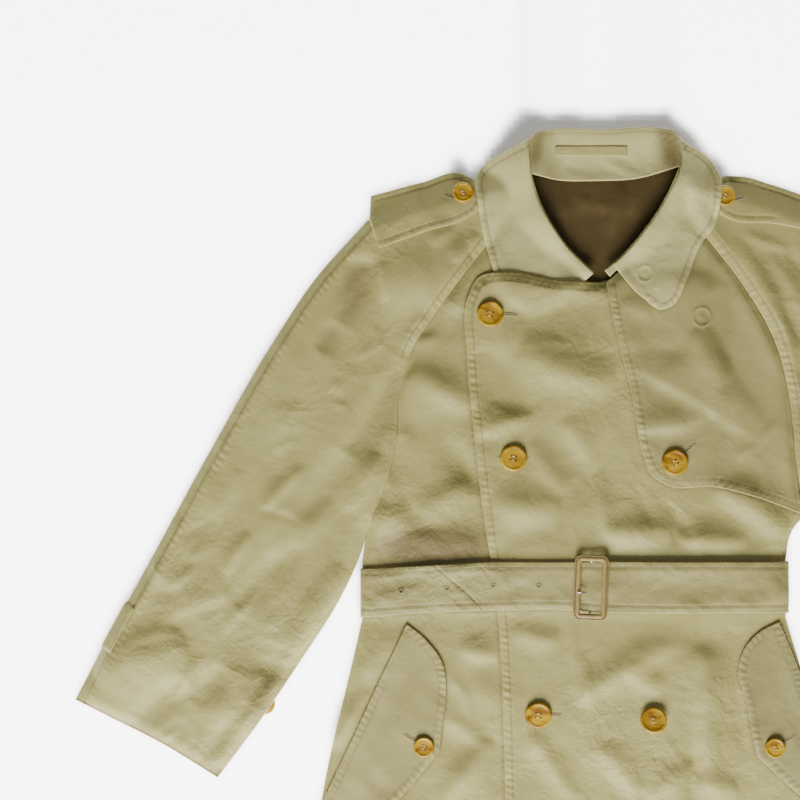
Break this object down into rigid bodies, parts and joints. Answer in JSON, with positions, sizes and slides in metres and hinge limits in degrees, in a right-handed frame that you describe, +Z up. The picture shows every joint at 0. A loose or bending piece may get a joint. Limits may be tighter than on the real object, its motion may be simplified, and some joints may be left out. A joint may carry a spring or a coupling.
{
  "type": "trench coat",
  "caption": "Double-breasted raglan trench coat with turned-down collar, epaulettes, gun flap, buckled belt and cuff straps, lying flat on its back, buttoned and belted.",
  "frame": {"origin": "middle of the coat's outline, on the surface that it lies on", "axes": "+X to the wearer's left, +Y from the hem to the collar, +Z up from the surface"},
  "size_m": [1.1012, 1.1056, 0.0266],
  "materials": {
    "gabardine": "khaki cotton gabardine, matt with a faint sheen",
    "lining": "brown twill lining, smooth",
    "horn": "amber horn, polished",
    "leather": "tan leather, stitched round its rim",
    "steel": "plain bright steel"
  },
  "bodies": {
    "root": {"back": "gabardine", "back_lining": "lining", "belt_back": "gabardine", "belt_fixed_end": "gabardine", "belt_tongue": "gabardine", "buckle_frame": "leather", "buckle_middle_bar": "steel", "buckle_prong": "steel", "collar_back": "gabardine", "collar_left": "gabardine", "collar_right": "gabardine", "collar_stand": "gabardine", "cuff_button_left": "horn", "cuff_button_right": "horn", "cuff_strap_left": "gabardine", "cuff_strap_right": "gabardine", "epaulette_button_left": "horn", "epaulette_button_right": "horn", "epaulette_left": "gabardine", "epaulette_right": "gabardine", "front_button_lower_left": "horn", "front_button_lower_right": "horn", "front_button_middle_right": "horn", "front_button_upper_right": "horn", "front_over": "gabardine", "front_under": "gabardine", "gun_flap": "gabardine", "gun_flap_button": "horn", "hanger_loop": "gabardine", "pocket_button_left": "horn", "pocket_button_right": "horn", "pocket_flap_left": "gabardine", "pocket_flap_right": "gabardine", "sleeve_left_back": "gabardine", "sleeve_left_front": "gabardine", "sleeve_right_back": "gabardine", "sleeve_right_front": "gabardine"}
  },
  "joints": []
}
